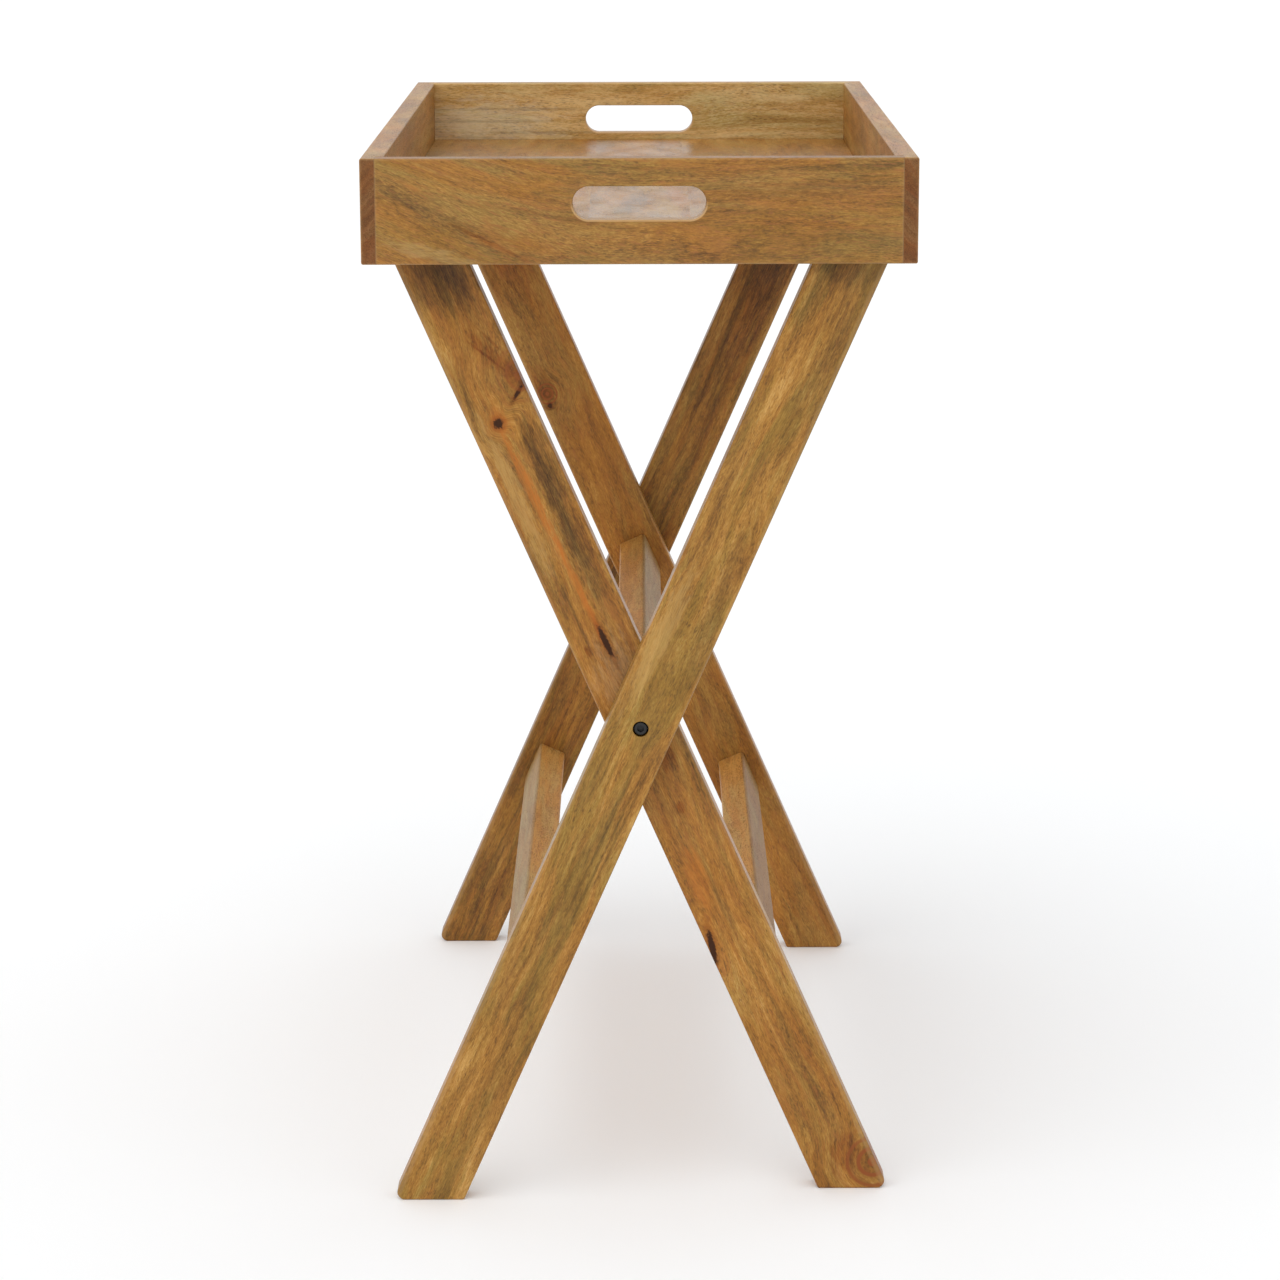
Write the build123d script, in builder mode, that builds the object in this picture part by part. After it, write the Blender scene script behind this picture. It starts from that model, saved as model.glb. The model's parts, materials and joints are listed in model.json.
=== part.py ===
from build123d import *
import os
from math import acos, asin, atan2, ceil, cos, degrees, hypot, sin, tan

os.makedirs("parts", exist_ok=True)

# Folding tray table: a lift-off wooden tray on a folding X stand. Millimetres, +Z up.
# X runs across the short side of the tray, Y along its length. The origin is on the
# ground, under the middle of the tray.

# ---------------------------------------------------------------- driving sizes

# tray
tray_length = 700.0          # outside, along Y
tray_width = 400.0           # outside, along X
table_height = 800.0         # ground to the tray's rim
wall_thickness = 16.0
inside_depth = 50.0          # rim down to the top of the floor
floor_thickness = 12.0
lip_depth = 14.0             # wall below the floor, which hides the tops of the legs
corner_shoulder = 10.5       # side panel left standing outside the corner rebate
groove_depth = 5.0           # groove in the walls that holds the floor's tongue
tongue_thickness = 8.0       # lower part of the floor, which goes into the groove
board_count = 5              # edge-glued boards in the floor
handle_length = 96.0
handle_height = 24.0
handle_below_rim = 32.0      # rim down to the middle of the handle hole
handle_round = 1.0
rim_round = 1.5

# corner pins, driven through each side panel into the end panels
pin_diameter = 1.6
pin_length = 30.0
pin_set_below = 1.0
pin_margin = 13.0            # from the rim or the lower edge to the nearest pin
pins_per_corner = 3

# stand
leg_width = 50.0
leg_thickness = 20.0
pivot_height = 374.0
leg_corner_round = 6.0       # the pointed corners at head and foot
leg_blunt_round = 2.0        # the two blunt corners
leg_edge_round = 1.5
rail_depth = 38.0            # along the leg
rail_thickness = 25.0        # across the leg
rail_round = 2.5
outer_rail_drop = 222.0      # pivot down the leg to the middle of the lower rail
inner_rail_drop = 225.0

# dowels that join rails to legs
dowel_diameter = 8.0
dowel_in_leg = 13.0
dowel_in_rail = 25.0
dowel_spacing = 24.0         # along the leg

# pivot: socket head bolt, two washers and a cross nut at each end
bolt_diameter = 6.0
bolt_head_diameter = 10.0
bolt_head_height = 6.0
bolt_socket = 5.0            # across flats
bolt_socket_depth = 3.2
bolt_head_set_below = 1.3
bolt_past_nut = 3.0          # least thread left past the cross nut
bolt_length_step = 5.0       # bolts are sold in steps of this length
head_washer_diameter = 11.0
head_washer_thickness = 1.6
counterbore_diameter = 12.0
spacer_diameter = 18.0
spacer_thickness = 1.5
washer_hole_diameter = 6.4
cross_nut_diameter = 10.0
cross_nut_length = 18.0
cross_nut_inset = 25.0       # from the end of the rail to the nut's axis

# named clearances
floor_side_clearance = 0.3   # tongue to the bottom of its groove
floor_face_clearance = 0.1   # tongue to each face of its groove
floor_shoulder_clearance = 0.3   # upper part of the floor to the walls
leg_in_lip_clearance = 0.4   # head of a leg to the tray's side wall, sideways
leg_end_clearance = 4.0      # outer leg to the tray's end wall, along Y
leg_under_floor_clearance = 0.2
glue_line = 0.05             # round a dowel
driven_fit = 0.02            # round a pin
running_clearance = 0.08     # bolt in the outer leg, on the radius
bolt_hole_clearance = 0.15   # bolt in the inner leg and rail, on the radius
thread_clearance = 0.02      # bolt in the cross nut, on the radius
cross_nut_clearance = 0.2    # cross nut in its hole, on the radius and at its end
pivot_play = 0.1             # at each washer, along the bolt
dowel_end_clearance = 1.0    # bottom of a dowel hole

# ---------------------------------------------------------------- worked out

half_length = tray_length / 2
half_width = tray_width / 2
tray_bottom = table_height - inside_depth - floor_thickness - lip_depth
tray_height = table_height - tray_bottom
inner_half_length = half_length - wall_thickness
inner_half_width = half_width - wall_thickness
shoulder_x = half_width - corner_shoulder
floor_top = table_height - inside_depth
floor_bottom = floor_top - floor_thickness
tongue_top = floor_bottom + tongue_thickness
tongue_middle = floor_bottom + tongue_thickness / 2
groove_height = tongue_thickness + 2 * floor_face_clearance
floor_half_length = inner_half_length + groove_depth - floor_side_clearance
floor_half_width = inner_half_width + groove_depth - floor_side_clearance
shown_half_length = inner_half_length - floor_shoulder_clearance
shown_half_width = inner_half_width - floor_shoulder_clearance
board_width = 2 * floor_half_width / board_count
handle_z = table_height - handle_below_rim
pin_y = half_length - wall_thickness / 2
pin_step = (tray_height - 2 * pin_margin) / (pins_per_corner - 1)

# The head of each leg reaches out to the tray's side wall, which stops the X from
# spreading. That fixes the splay: the outermost point of the rounded head lies at
# head_reach, for a leg of this width turning about the pivot.
leg_top = floor_bottom - leg_under_floor_clearance
head_reach = inner_half_width - leg_in_lip_clearance
reach_to_round = head_reach - leg_corner_round
rise_to_round = leg_top - pivot_height - leg_corner_round
half_to_round = leg_width / 2 - leg_corner_round
splay = acos(half_to_round / hypot(reach_to_round, rise_to_round)) - atan2(rise_to_round, reach_to_round)
splay_degrees = degrees(splay)

outer_face_y = inner_half_length - leg_end_clearance
outer_inside_y = outer_face_y - leg_thickness
leg_gap = spacer_thickness + pivot_play
inner_face_y = outer_inside_y - leg_gap
inner_inside_y = inner_face_y - leg_thickness

counterbore_depth = bolt_head_set_below + bolt_head_height + head_washer_thickness + pivot_play
washer_seat_y = outer_face_y - counterbore_depth + pivot_play
head_seat_y = washer_seat_y + head_washer_thickness
nut_y = inner_inside_y - cross_nut_inset
bolt_reach = head_seat_y - nut_y + cross_nut_diameter / 2 + bolt_past_nut
bolt_length = ceil(bolt_reach / bolt_length_step) * bolt_length_step
bolt_tip_y = head_seat_y - bolt_length

# The fold stops where the inner legs meet the outer frame's lower rail.
stop_radius = hypot(outer_rail_drop - rail_depth / 2 + rail_round, rail_thickness / 2 - rail_round)
stop_lead = atan2(rail_thickness / 2 - rail_round, outer_rail_drop - rail_depth / 2 + rail_round)
angle_at_stop = stop_lead + asin((leg_width / 2 + rail_round) / stop_radius)
fold_degrees = degrees(2 * splay - angle_at_stop)

LEAN_RIGHT = 1               # outer frame: its heads are at +X
LEAN_LEFT = -1               # inner frame: its heads are at -X


def along_leg(lean, distance):
    """Point in the XZ plane on a leg's centre line, at a distance up from the pivot."""
    return (lean * distance * sin(splay), pivot_height + distance * cos(splay))


def leg_plane(lean, distance, y, facing):
    """Plane across Y on a leg's centre line, its x along the leg, facing +Y or -Y."""
    x, z = along_leg(lean, distance)
    return Plane(origin=(x, y, z), x_dir=(lean * sin(splay), 0, cos(splay)), z_dir=(0, facing, 0))


def keep(piece, name):
    """Label a finished piece and write it as its own file."""
    piece.part.label = name
    export_step(piece.part, f"parts/{name}.step")


# ---------------------------------------------------------------- tray walls

# End panel with its handle hole. Its ends stand in the side panels' rebates.
with BuildPart() as tray_end_front:
    with Locations((0, -half_length + wall_thickness / 2, tray_bottom + tray_height / 2)):
        Box(2 * shoulder_x, wall_thickness, tray_height)
    long_edges = tray_end_front.edges().filter_by(Axis.X)
    fillet(long_edges, radius=rim_round)
    with BuildSketch(Plane.XZ.offset(half_length)) as handle_outline:
        with Locations((0, handle_z)):
            SlotOverall(handle_length, handle_height)
    extrude(amount=-wall_thickness, mode=Mode.SUBTRACT)
    handle_edges = tray_end_front.edges(Select.LAST).filter_by(Axis.Y, reverse=True)
    fillet(handle_edges, radius=handle_round)
    with Locations((0, -inner_half_length - groove_depth / 2, tongue_middle)):
        Box(2 * shoulder_x, groove_depth, groove_height, mode=Mode.SUBTRACT)
    for side in (-1, 1):
        for index in range(pins_per_corner):
            pin_z = tray_bottom + pin_margin + index * pin_step
            with Locations(Plane(origin=(side * half_width, -pin_y, pin_z), z_dir=(side, 0, 0))):
                Hole(pin_diameter / 2 + driven_fit, depth=pin_set_below + pin_length)
keep(tray_end_front, "tray_end_front")

with BuildPart() as tray_end_back:
    mirror(tray_end_front.part, about=Plane.XZ)
keep(tray_end_back, "tray_end_back")

# Side panel, full length, with a rebate at each end and a groove for the floor.
with BuildPart() as tray_side_left:
    with Locations((-half_width + wall_thickness / 2, 0, tray_bottom + tray_height / 2)):
        Box(wall_thickness, tray_length, tray_height)
    for end in (-1, 1):
        rebate_x = -(shoulder_x + inner_half_width) / 2
        rebate_y = end * (half_length - wall_thickness / 2)
        with Locations((rebate_x, rebate_y, tray_bottom + tray_height / 2)):
            Box(shoulder_x - inner_half_width, wall_thickness, tray_height, mode=Mode.SUBTRACT)
    lengthwise = tray_side_left.edges().filter_by(Axis.Y).group_by(Axis.X)
    upright = tray_side_left.edges().filter_by(Axis.Z).group_by(Axis.X)[0]
    crosswise = tray_side_left.edges().filter_by(Axis.X).group_by(Axis.Y)
    fillet(lengthwise[0] + lengthwise[-1] + upright + crosswise[0] + crosswise[-1], radius=rim_round)
    with Locations((-inner_half_width - groove_depth / 2, 0, tongue_middle)):
        Box(groove_depth, 2 * floor_half_length, groove_height, mode=Mode.SUBTRACT)
    for end in (-1, 1):
        for index in range(pins_per_corner):
            pin_z = tray_bottom + pin_margin + index * pin_step
            with Locations(Plane(origin=(-half_width, end * pin_y, pin_z), z_dir=(-1, 0, 0))):
                Hole(pin_diameter / 2 + driven_fit, depth=wall_thickness)
keep(tray_side_left, "tray_side_left")

with BuildPart() as tray_side_right:
    mirror(tray_side_left.part, about=Plane.YZ)
keep(tray_side_right, "tray_side_right")

# Headless pins, set just below the outside faces of the side panels.
with BuildPart() as corner_pins:
    for side in (-1, 1):
        for end in (-1, 1):
            for index in range(pins_per_corner):
                pin_x = side * (half_width - pin_set_below)
                pin_z = tray_bottom + pin_margin + index * pin_step
                with Locations(Plane(origin=(pin_x, end * pin_y, pin_z), z_dir=(-side, 0, 0))):
                    Cylinder(pin_diameter / 2, pin_length, align=(Align.CENTER, Align.CENTER, Align.MIN))
keep(corner_pins, "corner_pins")

# ---------------------------------------------------------------- tray floor

# Boards that run the length of the tray, edge-glued and sanded flush. Their lower part is a
# tongue in the grooves of the walls, and their upper part stops at the walls.
for index in range(board_count):
    board_x = (index - (board_count - 1) / 2) * board_width
    shown_left = max(board_x - board_width / 2, -shown_half_width)
    shown_right = min(board_x + board_width / 2, shown_half_width)
    with BuildPart() as floor_board:
        with Locations((board_x, 0, tongue_middle)):
            Box(board_width, 2 * floor_half_length, tongue_thickness)
        with Locations(((shown_left + shown_right) / 2, 0, (tongue_top + floor_top) / 2)):
            Box(shown_right - shown_left, 2 * shown_half_length, floor_top - tongue_top)
    keep(floor_board, f"floor_board_{index + 1}")

# ---------------------------------------------------------------- legs


def cut_dowel_holes(lean, distance, y, facing, depth):
    """Cut the two dowel holes of one rail joint, from the face at y inwards."""
    with Locations(leg_plane(lean, distance, y, facing)):
        with GridLocations(dowel_spacing, 0, 2, 1):
            Hole(dowel_diameter / 2 + glue_line, depth=depth + dowel_end_clearance)


def leg_blank(lean, inside_y):
    """Add a front leg: both ends cut level, its pointed corners well rounded."""
    half_cut = leg_width / 2 / cos(splay)
    head_x = lean * (leg_top - pivot_height) * tan(splay)
    foot_x = -lean * pivot_height * tan(splay)
    corners = [
        (foot_x - lean * half_cut, 0),
        (foot_x + lean * half_cut, 0),
        (head_x + lean * half_cut, leg_top),
        (head_x - lean * half_cut, leg_top),
    ]
    with BuildSketch(Plane.XZ.offset(inside_y)) as outline:
        with BuildLine():
            Polyline(*corners, close=True)
        make_face()
        across = outline.vertices().sort_by(Axis.X)
        fillet([across[0], across[-1]], radius=leg_corner_round)
        blunt = outline.vertices().group_by(Axis.Y)
        inner_corners = [min(level, key=lambda corner: abs(corner.X)) for level in (blunt[0], blunt[-1])]
        fillet(inner_corners, radius=leg_blunt_round)
    extrude(outline.sketch, amount=leg_thickness)


# Outer leg: the bolt turns in its hole, and the bolt's head is sunk in a counterbore.
with BuildPart() as outer_leg_front:
    leg_blank(LEAN_RIGHT, outer_inside_y)
    fillet(outer_leg_front.faces().filter_by(Axis.Y).edges(), radius=leg_edge_round)
    with Locations(leg_plane(LEAN_RIGHT, 0, -outer_face_y, -1)):
        CounterBoreHole(
            bolt_diameter / 2 + running_clearance, counterbore_diameter / 2, counterbore_depth
        )
    cut_dowel_holes(LEAN_RIGHT, -outer_rail_drop, -outer_inside_y, 1, dowel_in_leg)
keep(outer_leg_front, "outer_leg_front")

with BuildPart() as outer_leg_back:
    mirror(outer_leg_front.part, about=Plane.XZ)
keep(outer_leg_back, "outer_leg_back")

# Inner leg: the bolt passes through it into the end of the pivot rail.
with BuildPart() as inner_leg_front:
    leg_blank(LEAN_LEFT, inner_inside_y)
    fillet(inner_leg_front.faces().filter_by(Axis.Y).edges(), radius=leg_edge_round)
    with Locations(leg_plane(LEAN_LEFT, 0, -inner_face_y, -1)):
        Hole(bolt_diameter / 2 + bolt_hole_clearance)
    cut_dowel_holes(LEAN_LEFT, 0, -inner_inside_y, 1, dowel_in_leg)
    cut_dowel_holes(LEAN_LEFT, -inner_rail_drop, -inner_inside_y, 1, dowel_in_leg)
keep(inner_leg_front, "inner_leg_front")

with BuildPart() as inner_leg_back:
    mirror(inner_leg_front.part, about=Plane.XZ)
keep(inner_leg_back, "inner_leg_back")

# ---------------------------------------------------------------- rails


def rail_blank(lean, distance, half_span):
    """Add a rail between two legs of one frame, square to their centre lines."""
    with BuildSketch(Plane.XZ) as section:
        with Locations(along_leg(lean, distance)):
            RectangleRounded(rail_thickness, rail_depth, rail_round, rotation=-lean * splay_degrees)
    extrude(section.sketch, amount=half_span, both=True)
    for end in (-1, 1):
        cut_dowel_holes(lean, distance, end * half_span, end, dowel_in_rail)


with BuildPart() as outer_rail:
    rail_blank(LEAN_RIGHT, -outer_rail_drop, outer_inside_y)
keep(outer_rail, "outer_rail")

with BuildPart() as inner_rail:
    rail_blank(LEAN_LEFT, -inner_rail_drop, inner_inside_y)
keep(inner_rail, "inner_rail")

# The pivot rail also takes the bolts, and a cross nut from its under face at each end.
across_inner_leg = (cos(splay), 0, sin(splay))
under_face = (-rail_thickness / 2 * cos(splay), pivot_height - rail_thickness / 2 * sin(splay))
cross_nut_hole_depth = rail_thickness / 2 + cross_nut_length / 2 + cross_nut_clearance
with BuildPart() as pivot_rail:
    rail_blank(LEAN_LEFT, 0, inner_inside_y)
    for end in (-1, 1):
        with Locations(leg_plane(LEAN_LEFT, 0, end * inner_inside_y, end)):
            Hole(
                bolt_diameter / 2 + bolt_hole_clearance,
                depth=inner_inside_y - bolt_tip_y + dowel_end_clearance,
            )
        nut_mouth = Plane(
            origin=(under_face[0], end * nut_y, under_face[1]),
            z_dir=(-across_inner_leg[0], 0, -across_inner_leg[2]),
        )
        with Locations(nut_mouth):
            Hole(cross_nut_diameter / 2 + cross_nut_clearance, depth=cross_nut_hole_depth)
keep(pivot_rail, "pivot_rail")

# ---------------------------------------------------------------- dowels


def dowel_group(lean, distance, half_span):
    """Add the four dowels of one rail, two at each end, sunk in the leg and the rail."""
    for end in (-1, 1):
        with Locations(leg_plane(lean, distance, end * (half_span - dowel_in_rail), end)):
            with GridLocations(dowel_spacing, 0, 2, 1):
                Cylinder(
                    dowel_diameter / 2,
                    dowel_in_rail + dowel_in_leg,
                    align=(Align.CENTER, Align.CENTER, Align.MIN),
                )


with BuildPart() as outer_rail_dowels:
    dowel_group(LEAN_RIGHT, -outer_rail_drop, outer_inside_y)
keep(outer_rail_dowels, "outer_rail_dowels")

with BuildPart() as inner_rail_dowels:
    dowel_group(LEAN_LEFT, -inner_rail_drop, inner_inside_y)
keep(inner_rail_dowels, "inner_rail_dowels")

with BuildPart() as pivot_rail_dowels:
    dowel_group(LEAN_LEFT, 0, inner_inside_y)
keep(pivot_rail_dowels, "pivot_rail_dowels")

# ---------------------------------------------------------------- pivot hardware

for end, place in ((-1, "front"), (1, "back")):
    # Socket head bolt, its head outwards.
    with BuildPart() as pivot_bolt:
        with Locations(Plane(origin=(0, end * head_seat_y, pivot_height), z_dir=(0, end, 0))):
            Cylinder(
                bolt_head_diameter / 2,
                bolt_head_height,
                align=(Align.CENTER, Align.CENTER, Align.MIN),
            )
        head_rim = pivot_bolt.edges().filter_by(GeomType.CIRCLE).sort_by(Axis.Y)[-1 if end > 0 else 0]
        fillet(head_rim, radius=0.8)
        with Locations(Plane(origin=(0, end * bolt_tip_y, pivot_height), z_dir=(0, end, 0))):
            Cylinder(bolt_diameter / 2, bolt_length, align=(Align.CENTER, Align.CENTER, Align.MIN))
        head_face = Plane(
            origin=(0, end * (head_seat_y + bolt_head_height), pivot_height), z_dir=(0, end, 0)
        )
        with BuildSketch(head_face):
            RegularPolygon(bolt_socket / 2, 6, major_radius=False)
        extrude(amount=-bolt_socket_depth, mode=Mode.SUBTRACT)
    keep(pivot_bolt, f"pivot_bolt_{place}")

    # Washer under the head, in the counterbore.
    with BuildPart() as head_washer:
        with BuildSketch(Plane(origin=(0, end * washer_seat_y, pivot_height), z_dir=(0, end, 0))):
            Circle(head_washer_diameter / 2)
            Circle(washer_hole_diameter / 2, mode=Mode.SUBTRACT)
        extrude(amount=head_washer_thickness)
    keep(head_washer, f"head_washer_{place}")

    # Spacer washer that keeps the two legs apart.
    with BuildPart() as spacer_washer:
        with BuildSketch(Plane(origin=(0, end * inner_face_y, pivot_height), z_dir=(0, end, 0))):
            Circle(spacer_diameter / 2)
            Circle(washer_hole_diameter / 2, mode=Mode.SUBTRACT)
        extrude(amount=spacer_thickness)
    keep(spacer_washer, f"spacer_washer_{place}")

    # Cross nut in the pivot rail, its axis square to the bolt.
    with BuildPart() as cross_nut:
        with Locations(Plane(origin=(0, end * nut_y, pivot_height), z_dir=across_inner_leg)):
            Cylinder(cross_nut_diameter / 2, cross_nut_length)
        with Locations(Plane(origin=(0, end * nut_y, pivot_height), z_dir=(0, end, 0))):
            Cylinder(
                bolt_diameter / 2 + thread_clearance,
                2 * cross_nut_diameter,
                mode=Mode.SUBTRACT,
            )
    keep(cross_nut, f"cross_nut_{place}")

print(f"splay {splay_degrees:.3f} degrees, fold to the stop {fold_degrees:.2f} degrees")
print(f"pivot height {pivot_height:.1f}, head reach {head_reach:.1f}, bolt length {bolt_length:.0f}")
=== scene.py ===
import json
import math

import bpy
from mathutils import Matrix, Vector


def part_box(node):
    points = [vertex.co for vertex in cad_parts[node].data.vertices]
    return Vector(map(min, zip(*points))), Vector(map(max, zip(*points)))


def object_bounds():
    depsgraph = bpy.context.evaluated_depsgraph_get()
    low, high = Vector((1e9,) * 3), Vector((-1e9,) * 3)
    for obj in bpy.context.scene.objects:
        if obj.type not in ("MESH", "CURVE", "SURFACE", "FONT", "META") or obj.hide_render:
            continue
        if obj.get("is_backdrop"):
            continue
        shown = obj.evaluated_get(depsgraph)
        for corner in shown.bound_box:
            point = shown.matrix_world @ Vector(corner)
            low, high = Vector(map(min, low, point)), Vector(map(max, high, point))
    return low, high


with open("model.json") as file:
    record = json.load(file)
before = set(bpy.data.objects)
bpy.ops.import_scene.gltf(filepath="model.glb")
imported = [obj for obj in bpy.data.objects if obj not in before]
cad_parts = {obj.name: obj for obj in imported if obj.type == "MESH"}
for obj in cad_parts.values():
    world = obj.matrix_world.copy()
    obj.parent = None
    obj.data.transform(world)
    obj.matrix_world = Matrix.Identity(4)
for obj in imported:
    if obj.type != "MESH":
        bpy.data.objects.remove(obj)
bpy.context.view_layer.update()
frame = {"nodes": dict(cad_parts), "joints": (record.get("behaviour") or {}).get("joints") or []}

# ------------------------------------------------------------------ outer legs
# Two straight legs of solid mango wood, 50 by 20 mm, sawn level at head and foot, their
# long edges eased and two coats of satin lacquer rubbed on. The black bolt is sunk in a
# counterbore half way up, and the lower rail is dowelled into their inside faces.


def join(tree, sockets, values):
    """Give each socket its value, or link it where the value is another node's output."""
    for socket, value in zip(sockets, values):
        if isinstance(value, bpy.types.NodeSocket):
            tree.links.new(value, socket)
        else:
            socket.default_value = value


def place(tree, kind, settings=None, sockets=None):
    """Put a node in a tree, with its settings, and with values or links on its sockets."""
    made = tree.nodes.new(kind)
    for name, value in (settings or {}).items():
        setattr(made, name, value)
    named = sockets or {}
    join(tree, [made.inputs[name] for name in named], named.values())
    return made


def maths(tree, operation, *values, clamp=False):
    made = place(tree, "ShaderNodeMath", {"operation": operation, "use_clamp": clamp})
    join(tree, made.inputs, values)
    return made.outputs[0]


def plus(tree, first, second):
    return maths(tree, "ADD", first, second)


def minus(tree, first, second):
    return maths(tree, "SUBTRACT", first, second)


def times(tree, first, second):
    return maths(tree, "MULTIPLY", first, second)


def squared(tree, value):
    return maths(tree, "POWER", value, 2.0)


def vector_maths(tree, operation, *values):
    made = place(tree, "ShaderNodeVectorMath", {"operation": operation})
    join(tree, made.inputs, values)
    return made.outputs[0]


def vector(tree, x=0.0, y=0.0, z=0.0):
    return place(tree, "ShaderNodeCombineXYZ", None, {"X": x, "Y": y, "Z": z}).outputs[0]


def split(tree, position):
    """The X, Y and Z of a position, by name."""
    return place(tree, "ShaderNodeSeparateXYZ", None, {"Vector": position}).outputs


def rise(tree, value, low, high, bottom=0.0, top=1.0):
    """A smooth step from bottom to top as value goes from low to high."""
    made = place(tree, "ShaderNodeMapRange", {"interpolation_type": "SMOOTHSTEP"}, {
        "Value": value, "From Min": low, "From Max": high, "To Min": bottom, "To Max": top})
    return made.outputs["Result"]


def blend_colours(tree, factor, first, second, how="MIX"):
    """Lay the second colour over the first one, or multiply the first one by it."""
    made = place(tree, "ShaderNodeMix", {"data_type": "RGBA", "blend_type": how})
    colours = [(*value, 1.0) if isinstance(value, tuple) else value for value in (first, second)]
    join(tree, (made.inputs[0], made.inputs[6], made.inputs[7]), (factor, *colours))
    return made.outputs[2]


def noise(tree, where, detail=3.0, roughness=0.55, output="Fac"):
    made = place(tree, "ShaderNodeTexNoise", None, {
        "Vector": where, "Scale": 1.0, "Detail": detail, "Roughness": roughness})
    return made.outputs[output]


def stretched(tree, position, size, offset):
    """Position squeezed so that a pattern's marks are size long and wide, in millimetres,
    along and across the grain, and moved by an offset."""
    along, across = size
    scaled = vector_maths(tree, "MULTIPLY", position, (1 / along, 1 / across, 1 / across))
    return vector_maths(tree, "ADD", scaled, vector(tree, offset, offset, offset))


def new_group(name, inputs, outputs):
    """An empty shader group. inputs is a list of (name, kind, value), outputs of (name, kind)."""
    tree = bpy.data.node_groups.new(name, "ShaderNodeTree")
    for socket_name, kind, value in inputs:
        socket = tree.interface.new_socket(socket_name, in_out="INPUT", socket_type=kind)
        if value is not None:
            socket.default_value = value
    for socket_name, kind in outputs:
        tree.interface.new_socket(socket_name, in_out="OUTPUT", socket_type=kind)
    return tree, tree.nodes.new("NodeGroupInput").outputs, tree.nodes.new("NodeGroupOutput")


# how long and how wide the marks in the wood are, in millimetres
SLOW_WANDER = (190.0, 40.0)
QUICK_WANDER = (11.0, 2.6)
RING_PATCH = (90.0, 14.0)
FIBRE = (6.5, 0.9)
SPECK = (2.6, 0.8)
MOTTLE = (6.0, 3.0)
VESSEL = (4.2, 0.62)
RED_FLECK = (8.0, 1.1)
RAGGED_EDGE = (2.2, 1.3)
TORN_EDGE = (16.0, 5.0)
SOAKED_FIBRE = (14.0, 0.9)
WORN_PATCH = (22.0, 6.0)
LACQUER_PATCH = (45.0, 22.0)

# the wood's colours, from the darkest to the palest, and where each one comes
WOOD_SHADES = (
    (0.00, (0.075, 0.033, 0.009)),
    (0.25, (0.190, 0.086, 0.017)),
    (0.45, (0.300, 0.142, 0.026)),
    (0.68, (0.410, 0.208, 0.043)),
    (1.00, (0.560, 0.330, 0.100)),
)
OLIVE_CAST = (0.80, 0.96, 0.86)
OLIVE_WOOD = (0.180, 0.115, 0.028)
AMBER_CAST = (1.04, 0.84, 0.62)
RED_WOOD = (0.360, 0.130, 0.024)
RED_FLECK_WOOD = (0.300, 0.100, 0.026)
OPEN_VESSEL = (0.095, 0.045, 0.014)


def ring_position(tree, parts, radius, across, seed, size):
    """A place for noise that follows the rings: size is how far it runs along the grain,
    outwards, and round them, in millimetres."""
    along_size, outward_size, round_size = size
    return vector(
        tree,
        times(tree, parts["X"], 1 / along_size),
        times(tree, radius, 1 / outward_size),
        plus(tree, times(tree, across, 1 / round_size), seed))


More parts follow.
